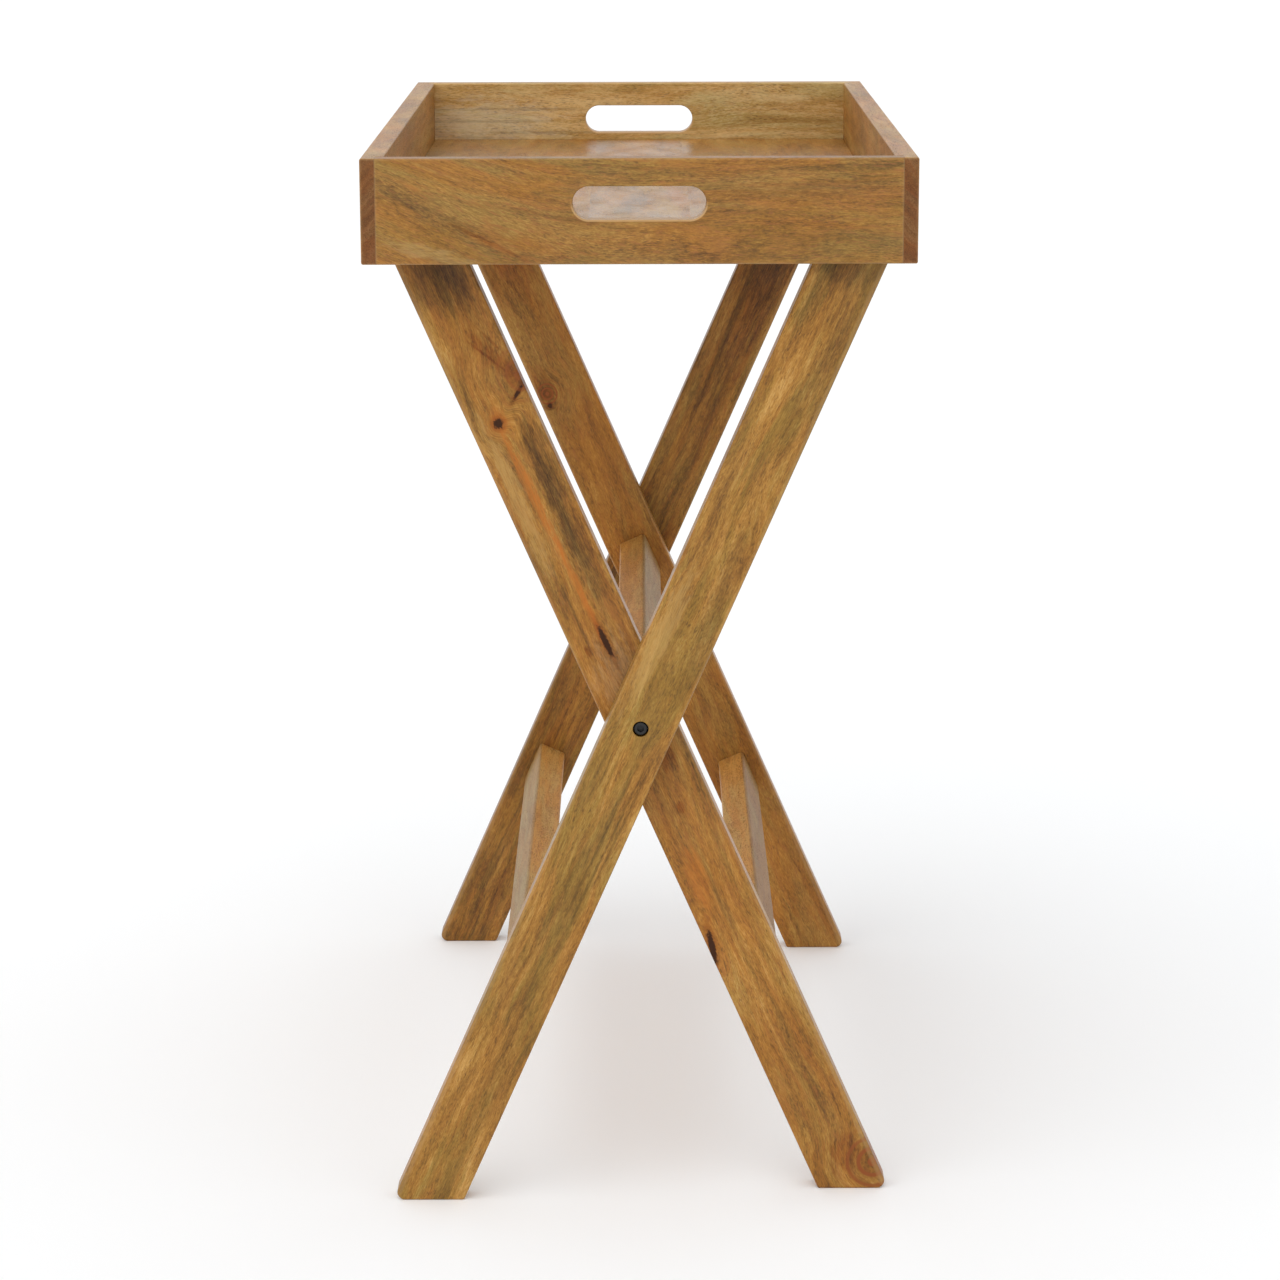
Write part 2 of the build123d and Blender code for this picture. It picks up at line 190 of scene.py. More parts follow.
def build_mango_grain():
    """Mango wood in the round. Position is in millimetres: X along the grain, Y and Z across.
    Growth rings are cylinders about a pith line that lies off the board."""
    tree, given, out = new_group("Mango grain", [
        ("Position", "NodeSocketVector", None),
        ("Seed", "NodeSocketFloat", 0.0),
        ("Pith Across", "NodeSocketFloat", 20.0),
        ("Pith Depth", "NodeSocketFloat", -60.0),
        ("Ring Width", "NodeSocketFloat", 7.0),
        ("Olive", "NodeSocketFloat", 0.5),
        ("Red", "NodeSocketFloat", 0.5),
        ("Tone", "NodeSocketFloat", 0.5),
        ("Figure", "NodeSocketFloat", 1.0),
    ], [
        ("Color", "NodeSocketColor"),
        ("Roughness", "NodeSocketFloat"),
        ("Height", "NodeSocketFloat"),
    ])
    position = given["Position"]
    seed = times(tree, given["Seed"], 13.7)

    def seed_and(step):
        return plus(tree, seed, step)

    # the trunk is never quite straight, so the grain wanders, and its edges are ragged
    middle = (0.5, 0.5, 0.5)
    slow = noise(tree, stretched(tree, position, SLOW_WANDER, seed), 2.0, 0.5, "Color")
    slow = vector_maths(tree, "SUBTRACT", slow, middle)
    quick = noise(tree, stretched(tree, position, QUICK_WANDER, seed), 3.0, 0.65, "Color")
    quick = vector_maths(tree, "SUBTRACT", quick, middle)
    wander = vector_maths(tree, "MULTIPLY", slow, (0.0, 24.0, 24.0))
    ragged = vector_maths(tree, "MULTIPLY", quick, (6.0, 3.2, 3.2))
    flowing = vector_maths(tree, "ADD", position, wander)
    bent = vector_maths(tree, "ADD", flowing, ragged)
    parts = split(tree, bent)

    # growth rings about the pith, which show only in patches
    across = minus(tree, parts["Y"], given["Pith Across"])
    depth = minus(tree, parts["Z"], given["Pith Depth"])
    radius = maths(tree, "SQRT", plus(tree, squared(tree, across), squared(tree, depth)))
    uneven = noise(tree, vector(
        tree, times(tree, parts["X"], 1 / 420.0), times(tree, radius, 1 / 13.0), seed), 2.0, 0.5)
    turns = plus(tree, maths(tree, "DIVIDE", radius, given["Ring Width"]), times(tree, uneven, 3.2))
    late = maths(tree, "POWER", maths(tree, "FRACT", turns), 3.0)
    fading = noise(tree, stretched(tree, bent, RING_PATCH, seed_and(4.0)))
    ring_line = times(tree, late, rise(tree, fading, 0.40, 0.60))

    # broad zones and narrow bands that follow the rings
    zone_place = ring_position(tree, parts, radius, across, seed, (130.0, 14.0, 45.0))
    zone = noise(tree, zone_place, 4.0, 0.6)
    band_place = ring_position(tree, parts, radius, across, seed, (42.0, 3.4, 24.0))
    band = noise(tree, band_place, 4.0, 0.65)

    # fibres, specks, and the short dark vessels cut open at the surface
    fibre = noise(tree, stretched(tree, flowing, FIBRE, seed), 4.0, 0.7)
    speck = noise(tree, stretched(tree, flowing, SPECK, seed_and(3.0)), 2.0, 0.6)
    mottle = noise(tree, stretched(tree, flowing, MOTTLE, seed_and(9.0)), 3.0, 0.6)
    vessel = noise(tree, stretched(tree, flowing, VESSEL, seed_and(21.0)), 1.0, 0.4)
    crowd = rise(tree, band, 0.35, 0.65, 1.0, 0.30)
    vessel_mask = times(tree, rise(tree, vessel, 0.56, 0.68), crowd)

    # one number from dark to light
    light = given["Tone"]
    for layer, strength in (
            (zone, times(tree, given["Figure"], 1.3)),
            (band, times(tree, given["Figure"], 0.80)),
            (fibre, 0.90),
            (speck, 0.45),
            (mottle, 0.35)):
        light = plus(tree, light, times(tree, minus(tree, layer, 0.5), strength))
    light = minus(tree, light, times(tree, ring_line, 0.16))
    ramp = place(tree, "ShaderNodeValToRGB", None, {"Fac": light})
    shades = ramp.color_ramp.elements
    for shade, (where, colour) in zip((shades[0], shades[1]), (WOOD_SHADES[0], WOOD_SHADES[-1])):
        shade.position = where
        shade.color = (*colour, 1.0)
    for where, colour in WOOD_SHADES[1:-1]:
        shades.new(where).color = (*colour, 1.0)

    # olive heartwood and orange-red streaks
    olive = noise(tree, vector_maths(tree, "ADD", zone_place, (3.1, 7.7, 1.3)), 4.0, 0.65)
    olive_mask = times(tree, rise(tree, olive, 0.45, 0.60), given["Olive"])
    amber = noise(tree, vector_maths(tree, "ADD", zone_place, (9.4, 2.2, 6.1)), 4.0, 0.6)
    amber_mask = times(tree, rise(tree, amber, 0.40, 0.58), given["Red"])
    red = noise(tree, vector_maths(tree, "ADD", band_place, (5.2, 1.9, 8.4)), 3.0, 0.6)
    red_mask = times(tree, rise(tree, red, 0.48, 0.70), given["Red"])
    fleck = noise(tree, stretched(tree, flowing, RED_FLECK, seed_and(33.0)), 2.0, 0.6)
    fleck_mask = times(tree, rise(tree, fleck, 0.54, 0.66), times(tree, given["Red"], 0.55))
    colour = blend_colours(tree, olive_mask, ramp.outputs["Color"], OLIVE_CAST, "MULTIPLY")
    colour = blend_colours(tree, times(tree, olive_mask, 0.30), colour, OLIVE_WOOD)
    colour = blend_colours(tree, amber_mask, colour, AMBER_CAST, "MULTIPLY")
    colour = blend_colours(tree, times(tree, red_mask, 0.55), colour, RED_WOOD)
    colour = blend_colours(tree, fleck_mask, colour, RED_FLECK_WOOD)
    colour = blend_colours(tree, times(tree, vessel_mask, 0.62), colour, OPEN_VESSEL)

    # lacquer sinks into the open vessels, which stay rough and low
    rough = plus(tree, 0.42, times(tree, vessel_mask, 0.18))
    rough = plus(tree, rough, times(tree, minus(tree, fibre, 0.5), 0.20))
    height = minus(tree, times(tree, fibre, 0.35), times(tree, vessel_mask, 0.55))
    tree.links.new(colour, out.inputs["Color"])
    tree.links.new(rough, out.inputs["Roughness"])
    tree.links.new(height, out.inputs["Height"])
    return tree


def build_mark():
    """An oval mark on a board, such as a knot, a split or a stain, with ragged edges. Push is
    how strongly the grain is pushed aside by it, and Bend is how far, in millimetres."""
    tree, given, out = new_group("Wood mark", [
        ("Position", "NodeSocketVector", None),
        ("Along", "NodeSocketFloat", 0.0),
        ("Across", "NodeSocketFloat", 0.0),
        ("Length", "NodeSocketFloat", 8.0),
        ("Width", "NodeSocketFloat", 4.0),
        ("Turn", "NodeSocketFloat", 0.0),
        ("Push", "NodeSocketFloat", 0.8),
    ], [
        ("Core", "NodeSocketFloat"),
        ("Halo", "NodeSocketFloat"),
        ("Rings", "NodeSocketFloat"),
        ("Streaks", "NodeSocketFloat"),
        ("Bend", "NodeSocketFloat"),
    ])
    position = given["Position"]
    parts = split(tree, position)
    x = minus(tree, parts["X"], given["Along"])
    y = minus(tree, parts["Y"], given["Across"])
    cosine = maths(tree, "COSINE", given["Turn"])
    sine = maths(tree, "SINE", given["Turn"])
    along = plus(tree, times(tree, x, cosine), times(tree, y, sine))
    across = minus(tree, times(tree, y, cosine), times(tree, x, sine))

    # how far out a point is, where 1 is the mark's edge
    share_along = maths(tree, "DIVIDE", along, given["Length"])
    share_across = maths(tree, "DIVIDE", across, given["Width"])
    squares = plus(tree, squared(tree, share_along), squared(tree, share_across))
    smooth_reach = maths(tree, "SQRT", squares)
    ragged = noise(tree, stretched(tree, position, RAGGED_EDGE, given["Along"]), 4.0, 0.7)
    reach = plus(tree, smooth_reach, times(tree, minus(tree, ragged, 0.5), 1.2))
    core = rise(tree, reach, 0.70, 1.10, 1.0, 0.0)
    halo = rise(tree, reach, 0.8, 2.2, 1.0, 0.0)
    wave = maths(tree, "SINE", times(tree, smooth_reach, 6.5))
    rings_reach = rise(tree, smooth_reach, 0.8, 4.0, 1.0, 0.0)
    rings = times(tree, rise(tree, wave, 0.0, 1.0), rings_reach)

    # a stain soaks along the fibres, so it breaks up into streaks
    torn = noise(tree, stretched(tree, position, TORN_EDGE, given["Along"]), 3.0, 0.65)
    soaked = plus(tree, smooth_reach, times(tree, minus(tree, torn, 0.5), 2.4))
    fibres = noise(tree, stretched(tree, position, SOAKED_FIBRE, given["Across"]), 3.0, 0.65)
    stain = rise(tree, soaked, 0.5, 1.4, 1.0, 0.0)
    streaks = times(tree, stain, rise(tree, fibres, 0.34, 0.58, 0.45, 1.0))

    # grain flows round the mark, less and less further out
    spread_along = squared(tree, times(tree, share_along, 0.30))
    spread_across = squared(tree, times(tree, share_across, 0.22))
    spread = times(tree, plus(tree, spread_along, spread_across), -1.0)
    near = times(tree, maths(tree, "EXPONENT", spread), given["Push"])
    bend = times(tree, times(tree, y, near), -1.0)
    marks = (("Core", core), ("Halo", halo), ("Rings", rings), ("Streaks", streaks), ("Bend", bend))
    for name, value in marks:
        tree.links.new(value, out.inputs[name])
    return tree


def build_edge_wear():
    """How near a point on a board is to an edge, worn unevenly. Sizes are in millimetres."""
    tree, given, out = new_group("Edge wear", [
        ("Position", "NodeSocketVector", None),
        ("Half Length", "NodeSocketFloat", 1000.0),
        ("Half Width", "NodeSocketFloat", 25.0),
        ("Half Thickness", "NodeSocketFloat", 10.0),
        ("Reach", "NodeSocketFloat", 1.6),
    ], [("Edge", "NodeSocketFloat"), ("End Grain", "NodeSocketFloat")])
    position = given["Position"]
    parts = split(tree, vector_maths(tree, "ABSOLUTE", position))
    gap_x = minus(tree, given["Half Length"], parts["X"])
    gap_y = minus(tree, given["Half Width"], parts["Y"])
    gap_z = minus(tree, given["Half Thickness"], parts["Z"])
    low = maths(tree, "MINIMUM", gap_x, gap_y)
    high = maths(tree, "MAXIMUM", gap_x, gap_y)
    to_edge = maths(tree, "MAXIMUM", low, maths(tree, "MINIMUM", high, gap_z))
    patchy = noise(tree, stretched(tree, position, WORN_PATCH, 5.0), 3.0, 0.6)
    reach = times(tree, given["Reach"], maths(tree, "MULTIPLY_ADD", patchy, 2.0, 0.1))
    near = maths(tree, "SUBTRACT", 1.0, maths(tree, "DIVIDE", to_edge, reach), clamp=True)
    tree.links.new(near, out.inputs["Edge"])
    tree.links.new(rise(tree, gap_x, 0.2, 0.9, 1.0, 0.0), out.inputs["End Grain"])
    return tree


mango_grain = build_mango_grain()
wood_mark = build_mark()
edge_wear = build_edge_wear()

MILLIMETRE = 0.001
KNOT_HEART = (0.040, 0.012, 0.004)
KNOT_RING = (0.240, 0.062, 0.011)
HONEY = (0.46, 0.275, 0.085)
WORN_EDGE = (0.47, 0.29, 0.12)
# paler wood, and the painted highlight along a hand hole's lower edge
PALE_WOOD_AND_RIM_HIGHLIGHT = (0.56, 0.34, 0.15)
LACQUER_TINT = (0.52, 0.44, 0.36, 1.0)
# these darken the wood that they lie on
OLIVE_SHADE = (0.50, 0.50, 0.50)
RUST_SHADE = (0.66, 0.45, 0.22)
END_GRAIN = (0.48, 0.39, 0.52)


def board_position(tree, origin, along, across):
    """Object coordinates turned into a board's own, in millimetres: X along its grain."""
    along, across = Vector(along).normalized(), Vector(across).normalized()
    axes = Matrix((along, across, along.cross(across))).transposed()
    mapping = place(tree, "ShaderNodeMapping", {"vector_type": "TEXTURE"}, {
        "Vector": tree.nodes.new("ShaderNodeTexCoord").outputs["Object"],
        "Location": tuple(origin),
        "Rotation": tuple(axes.to_euler()),
        "Scale": (MILLIMETRE, MILLIMETRE, MILLIMETRE)})
    return mapping.outputs[0]


def use_group(tree, group, sockets):
    made = place(tree, "ShaderNodeGroup", {"node_tree": group})
    join(tree, [made.inputs[name] for name in sockets], sockets.values())
    return made.outputs


def use_mark(tree, position, oval, push=0.8):
    """A wood mark. oval is (along, across, length, width, turn)."""
    names = ("Along", "Across", "Length", "Width", "Turn")
    return use_group(tree, wood_mark, {"Position": position, **dict(zip(names, oval)), "Push": push})


def sideways(tree, position, distance):
    """A position moved across the grain."""
    return vector_maths(tree, "ADD", position, vector(tree, y=distance))


def hole_rim(tree, position, hole):
    """Where a painted highlight lies on the lower edge of a hand hole, as if its eased edge caught
    the light from above. hole is how far up its middle is, its half length without the round ends,
    and its radius, in millimetres."""
    middle, straight, radius = hole
    parts = split(tree, position)
    beyond = maths(
        tree, "MAXIMUM", minus(tree, maths(tree, "ABSOLUTE", parts["X"]), straight), 0.0)
    above = minus(tree, parts["Y"], middle)
    from_line = maths(tree, "SQRT", plus(tree, squared(tree, beyond), squared(tree, above)))
    rim = rise(tree, from_line, radius + 0.8, radius + 1.6, 1.0, 0.0)
    return times(tree, rim, rise(tree, above, -6.0, 2.0, 0.80, 0.0))


def mango(name, origin, along, across, half, grain, knots=(), tints=(), shades=(), sweep=None,
          wear=0.30, sheen=0.12, dull=0.0, face_shade_and_cast=None, hole=None):
    """Lacquered mango wood for one board. origin, along and across are the middle of the
    board, the way its grain runs and the way its width runs. half is its half length, width
    and thickness in millimetres, and grain is what the mango grain group is given.
    A knot is (along, across, length, width, turn, strength of its heart and of its rings).
    A tint or a shade is (along, across, length, width, turn, colour, strength): a tint
    covers the wood, and a shade darkens it; a few shades are painted shade under the tray.
    sweep is where the grain starts to slope, and how steeply. A board's upper face can be
    multiplied by a colour, given with its strength: painted shade and a painted bluish sheen
    on the rails, a paler cast on the tray ends. hole is a hand hole, whose lower edge gets
    a painted highlight."""
    material = bpy.data.materials.new(name)
    material.use_nodes = True
    tree = material.node_tree
    tree.nodes.clear()
    position = board_position(tree, origin, along, across)

    # grain, bent round the knots
    knot_marks = [use_mark(tree, position, knot[:5]) for knot in knots]
    bent = position
    for mark in knot_marks:
        bent = sideways(tree, bent, mark["Bend"])
    if sweep:
        start, slope = sweep
        from_start = minus(tree, split(tree, position)["X"], start)
        past = maths(tree, "SMOOTH_MIN", from_start, 0.0, 90.0)
        bent = sideways(tree, bent, times(tree, past, slope))
    wood = use_group(tree, mango_grain, {"Position": bent, **grain})

    # stains and shades, a few of them painted shade under the tray, then one face multiplied by a
    # colour: painted shade and a painted bluish sheen on the rails, a paler cast on the tray ends
    colour = wood["Color"]
    for how, stains in (("MIX", tints), ("MULTIPLY", shades)):
        for *oval, stain_colour, strength in stains:
            mark = use_mark(tree, position, oval, push=0.0)
            soaked = times(tree, mark["Streaks"], strength)
            colour = blend_colours(tree, soaked, colour, stain_colour, how)
    if face_shade_and_cast:
        fading, turned = face_shade_and_cast
        upper_face = rise(
            tree, split(tree, position)["Z"], half[2] - 3.0, half[2] - 1.0, 0.0, fading)
        colour = blend_colours(tree, upper_face, colour, turned, "MULTIPLY")

    # lacquer, and the knots, which it doesn't cover
    rough, height = plus(tree, wood["Roughness"], dull), wood["Height"]
    lacquer = noise(tree, stretched(tree, position, LACQUER_PATCH, 2.0), 2.0, 0.5)
    coat = rise(tree, lacquer, 0.35, 0.65, sheen * 0.6, sheen * 1.4)
    for knot, mark in zip(knots, knot_marks):
        heart_strength, ring_strength = knot[5:]
        halo = times(tree, mark["Halo"], 0.75)
        rings = times(tree, mark["Rings"], ring_strength)
        heart = times(tree, mark["Core"], heart_strength)
        colour = blend_colours(tree, halo, colour, RUST_SHADE, "MULTIPLY")
        colour = blend_colours(tree, rings, colour, KNOT_RING)
        colour = blend_colours(tree, heart, colour, KNOT_HEART)
        rough = plus(tree, rough, times(tree, heart, 0.2))
        height = minus(tree, height, times(tree, heart, 1.2))
        coat = times(tree, coat, minus(tree, 1.0, heart))

    # end grain, worn edges, and a painted highlight along a hand hole's lower edge
    worn = use_group(tree, edge_wear, {
        "Position": position,
        "Half Length": half[0],
        "Half Width": half[1],
        "Half Thickness": half[2]})
    colour = blend_colours(tree, worn["End Grain"], colour, END_GRAIN, "MULTIPLY")
    colour = blend_colours(tree, times(tree, worn["Edge"], wear), colour, WORN_EDGE)
    if hole:
        colour = blend_colours(tree, hole_rim(tree, position, hole), colour, PALE_WOOD_AND_RIM_HIGHLIGHT)

    bump = place(tree, "ShaderNodeBump", None, {
        "Height": height, "Strength": 0.35, "Distance": 0.0004})
    shader = place(tree, "ShaderNodeBsdfPrincipled", None, {
        "Base Color": colour, "Roughness": rough, "Normal": bump.outputs[0],
        "IOR": 1.5, "Specular Tint": LACQUER_TINT, "Coat Weight": coat, "Coat Roughness": 0.22})
    output = tree.nodes.new("ShaderNodeOutputMaterial")
    tree.links.new(shader.outputs[0], output.inputs["Surface"])
    return material


def board_grain(seed, pith, ring_width, olive, red, tone, figure=1.0):
    """What the mango grain group is given for one board. pith is how far the pith lies
    across from the board's middle and above it, in millimetres."""
    return {
        "Seed": seed, "Pith Across": pith[0], "Pith Depth": pith[1], "Ring Width": ring_width,
        "Olive": olive, "Red": red, "Tone": tone, "Figure": figure}


def finish_node(node, material):
    """Give a CAD node's object one material in place of its own."""
    slots = frame["nodes"][node].data.materials
    slots.clear()
    slots.append(material)


LEG_WIDTH, LEG_THICKNESS = 0.050, 0.020
# legs are sawn at a slant, so their ends don't darken or wear as a square end does
NO_SQUARE_END = 1000.0
LEG_HALF = (NO_SQUARE_END, LEG_WIDTH / 2 / MILLIMETRE, LEG_THICKNESS / 2 / MILLIMETRE)
pivot = Vector(next(j["pos_m"] for j in frame["joints"] if j["name"] == "stand_fold"))


def splay_of(node):
    """The angle of a leg from upright, from its box: a leg of this width, cut level."""
    low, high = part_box(node)
    width, height = high.x - low.x, high.z - low.z
    angle = math.atan2(width, height)
    for _ in range(20):
        angle = math.atan2(width - LEG_WIDTH / math.cos(angle), height)
    return angle


splay = splay_of("outer_leg_front")


def leg_axes(lean):
    """The way up a leg, and the way across it. lean is 1 to the right and -1 to the left."""
    along = Vector((lean * math.sin(splay), 0, math.cos(splay)))
    across = Vector((math.cos(splay), 0, -lean * math.sin(splay)))
    return along, across


def leg_middle(node):
    """Where a leg's middle line passes the pivot. Marks are measured up and down from it."""
    low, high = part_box(node)
    return Vector((pivot.x, (low.y + high.y) / 2, pivot.z))


finish_node("outer_leg_front", mango(
    "Mango outer leg front", leg_middle("outer_leg_front"), *leg_axes(1), LEG_HALF,
    board_grain(seed=1.0, pith=(62.0, 48.0), ring_width=5.0, olive=0.70, red=0.30, tone=0.56),
    tints=[(70.0, -14.0, 55.0, 7.0, 0.05, HONEY, 0.60)],
    shades=[
        # dark head under the tray: dark olive wood, deepened by painted shade from the tray above
        (376.0, -2.0, 14.0, 22.0, 0.05, OLIVE_SHADE, 0.85),
        (348.0, -12.0, 34.0, 5.0, 0.10, OLIVE_SHADE, 0.80),
        # olive zones above the pivot
        (280.0, 13.0, 60.0, 8.0, 0.06, OLIVE_SHADE, 0.40),
        (110.0, 15.0, 75.0, 7.0, -0.05, OLIVE_SHADE, 0.50),
        # thin dark lines below the pivot
        (-70.0, 17.0, 60.0, 1.2, 0.03, OLIVE_SHADE, 0.80),
        (-100.0, 12.5, 75.0, 1.1, 0.03, OLIVE_SHADE, 0.75),
        (-95.0, 7.0, 75.0, 1.0, 0.03, OLIVE_SHADE, 0.70),
        # olive bands down to the foot
        (-150.0, -5.0, 65.0, 3.0, 0.02, OLIVE_SHADE, 0.45),
        (-310.0, 6.0, 80.0, 8.0, 0.02, OLIVE_SHADE, 0.35),
    ]))
finish_node("outer_leg_back", mango(
    "Mango outer leg back", leg_middle("outer_leg_back"), *leg_axes(1), LEG_HALF,
    board_grain(seed=2.0, pith=(-40.0, -30.0), ring_width=6.0, olive=0.45, red=0.60, tone=0.38),
    shades=[
        # dark upper half: a dark streak, and broad painted shade where the tray above keeps the
        # light off
        (250.0, -8.0, 90.0, 3.0, -0.02, OLIVE_SHADE, 0.90),
        (300.0, 0.0, 110.0, 24.0, 0.0, RUST_SHADE, 0.50),
        (210.0, 2.0, 170.0, 28.0, 0.0, OLIVE_SHADE, 0.24),
        (330.0, 2.0, 80.0, 20.0, 0.0, OLIVE_SHADE, 0.90),
        # rusty patches at the pivot and above it
        (150.0, 12.0, 60.0, 6.0, 0.02, RUST_SHADE, 0.60),
        (5.0, 14.0, 30.0, 5.0, 0.05, RUST_SHADE, 0.80),
    ]))

# ------------------------------------------------------------------ outer rail
# The lower cross rail of the outer frame, mango wood, 38 by 25 mm with rounded arrises.
# Its ends butt against the legs and are held by two beech dowels each.

RAIL_DEPTH, RAIL_THICKNESS = 38.0, 25.0
# painted shade for the rails' upper faces under the tray, with a painted bluish sheen
RAIL_SHADE_AND_SHEEN = (0.62, 0.70, 0.90)


def box_middle(node):
    low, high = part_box(node)
    return (low + high) / 2


def rail_half(node):
    low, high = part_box(node)
    return ((high.y - low.y) / 2 / MILLIMETRE, RAIL_DEPTH / 2, RAIL_THICKNESS / 2)


def finish_rail(node, along, lean, grain, upper_face):
    """A dull rail between two legs. upper_face is the colour by which its upper face is multiplied:
    painted shade, where the tray above keeps the light off it.
    """
    finish_node(node, mango(
        "Mango " + node.replace("_", " "), box_middle(node), along, leg_axes(lean)[0],
        rail_half(node), grain, sheen=0.0, dull=0.12, face_shade_and_cast=(1.0, upper_face)))


finish_rail(
    "outer_rail", (0, -1, 0), 1,
    board_grain(
        seed=3.0, pith=(30.0, 42.0), ring_width=6.0, olive=0.10, red=0.9, tone=0.95, figure=0.6),
    RAIL_SHADE_AND_SHEEN)

# ------------------------------------------------------------------ inner legs
# Two mango legs like the outer ones, on the inside of them. The front one has two old
# knots with an orange streak between them, and a third low down.

ORANGE = (0.45, 0.140, 0.018)

finish_node("inner_leg_front", mango(
    "Mango inner leg front", leg_middle("inner_leg_front"), *leg_axes(-1), LEG_HALF,
    board_grain(seed=4.0, pith=(-36.0, -44.0), ring_width=6.5, olive=0.20, red=0.75, tone=0.55),
    knots=[
        # the upper knot and the split beside it
        (250.0, -6.0, 4.2, 4.0, 0.0, 1.0, 0.15),
        (265.5, 16.5, 7.5, 1.5, 0.94, 1.0, 0.0),
        # the long knot above the pivot, and the one at the edge below it
        (67.0, 0.5, 14.0, 2.4, -0.03, 1.0, 0.0),
        (-185.0, -20.5, 16.0, 2.6, 0.20, 1.0, 0.0),
        # rings alone, beside the split and at the foot
        (277.0, 22.0, 9.0, 7.0, 0.0, 0.0, 0.50),
        (-394.0, 25.0, 9.0, 9.0, 0.0, 0.0, 1.30),
    ],
    tints=[
        # the upper knot's glow, and the orange streak from knot to knot
        (250.0, -6.0, 11.0, 7.0, 0.3, ORANGE, 0.60),
        (192.0, -4.0, 52.0, 3.4, -0.02, ORANGE, 0.90),
        (115.0, -1.5, 50.0, 2.6, -0.02, ORANGE, 0.90),
        # paler wood beside the streak and above the pivot, and a second, lower streak
        (190.0, -16.0, 60.0, 6.0, 0.0, HONEY, 0.55),
        (30.0, 2.0, 34.0, 20.0, 0.0, PALE_WOOD_AND_RIM_HIGHLIGHT, 0.35),
        (-131.0, -9.6, 26.0, 7.0, 0.1, ORANGE, 0.55),
    ],
    shades=[
        # dark head under the tray: dark olive wood, deepened by painted shade from the tray above
        (366.0, 0.0, 26.0, 30.0, 0.0, OLIVE_SHADE, 1.0),
        (356.0, 4.0, 26.0, 14.0, 0.0, OLIVE_SHADE, 0.50),
        (370.0, 4.0, 22.0, 12.0, 0.0, OLIVE_SHADE, 0.60),
        # rusty arcs that lead to the split
        (330.0, 10.0, 30.0, 12.0, 0.1, RUST_SHADE, 0.45),
        (292.0, 13.0, 26.0, 6.0, -0.42, RUST_SHADE, 0.85),
        (300.0, 6.0, 18.0, 1.0, -0.50, RUST_SHADE, 0.90),
        (310.0, 13.0, 18.0, 1.0, -0.40, RUST_SHADE, 0.90),
        # the olive zone along the orange streak
        (215.0, 13.0, 34.0, 10.0, 0.05, OLIVE_SHADE, 0.95),
        (150.0, 13.0, 50.0, 9.0, 0.02, OLIVE_SHADE, 0.90),
        (180.0, 9.0, 66.0, 4.5, 0.02, OLIVE_SHADE, 0.95),
        # small rusty spots and soft shadows
        (64.0, -14.0, 5.0, 3.0, 0.0, RUST_SHADE, 1.0),
        (145.0, 5.0, 44.0, 7.0, 0.0, OLIVE_SHADE, 0.35),
        (196.0, -7.5, 40.0, 3.0, 0.0, OLIVE_SHADE, 0.35),
        (288.0, -6.0, 30.0, 12.0, 0.0, RUST_SHADE, 0.30),
        (-30.0, 8.0, 14.0, 6.0, 0.0, RUST_SHADE, 1.0),
        (-73.0, 1.0, 5.0, 3.0, 0.3, RUST_SHADE, 1.0),
        (-378.0, 8.0, 14.0, 14.0, 0.3, RUST_SHADE, 0.80),
    ]))
finish_node("inner_leg_back", mango(
    "Mango inner leg back", leg_middle("inner_leg_back"), *leg_axes(-1), LEG_HALF,
    board_grain(
        seed=5.0, pith=(44.0, 52.0), ring_width=6.0, olive=0.10, red=0.85, tone=0.51, figure=0.65),
    knots=[
        # rings, with their heart to one side of them
        (172.0, -17.0, 4.2, 4.0, 0.0, 0.0, 1.80),
        (161.0, -19.0, 2.6, 2.2, 0.0, 0.9, 0.0),
    ],
    shades=[
        (178.0, -16.0, 18.0, 9.0, 0.0, RUST_SHADE, 0.70),
        # painted shade at the head, where the tray above keeps the light off
        (340.0, 0.0, 70.0, 26.0, 0.0, RUST_SHADE, 0.75),
    ]))

# ------------------------------------------------------------------ pivot rail and inner rail
# The two cross rails of the inner frame, mango wood. The upper one sits on the pivot and
# takes the bolts in its ends; the lower one matches the outer frame's.

# painted shade for the inner rail's upper face under the tray
INNER_RAIL_SHADE = (0.52, 0.50, 0.46)

finish_rail(
    "pivot_rail", (0, 1, 0), -1,
    board_grain(
        seed=6.0, pith=(-28.0, 50.0), ring_width=6.0, olive=0.1, red=0.9, tone=0.78, figure=0.6),
    RAIL_SHADE_AND_SHEEN)
finish_rail(
    "inner_rail", (0, 1, 0), -1,
    board_grain(
        seed=7.0, pith=(35.0, -45.0), ring_width=5.5, olive=0.1, red=0.9, tone=0.93, figure=0.6),
    INNER_RAIL_SHADE)

# ------------------------------------------------------------------ tray ends
# The two short walls, mango boards 16 mm thick with a hand hole cut through and its edges
# just eased. Their ends stand in the rebates of the side panels, glued and pinned.

HALF_WALL = 8.0
HAND_HOLE = (6.0, 36.0, 12.0)
PALE = (0.54, 0.39, 0.20)
# this lightens the wood that it lies on, and most of all in blue
PALE_COOL_CAST = (1.22, 1.50, 2.30)

end_low, end_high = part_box("tray_end_front")
END_HALF = (
    (end_high.x - end_low.x) / 2 / MILLIMETRE,
    (end_high.z - end_low.z) / 2 / MILLIMETRE,
    HALF_WALL)

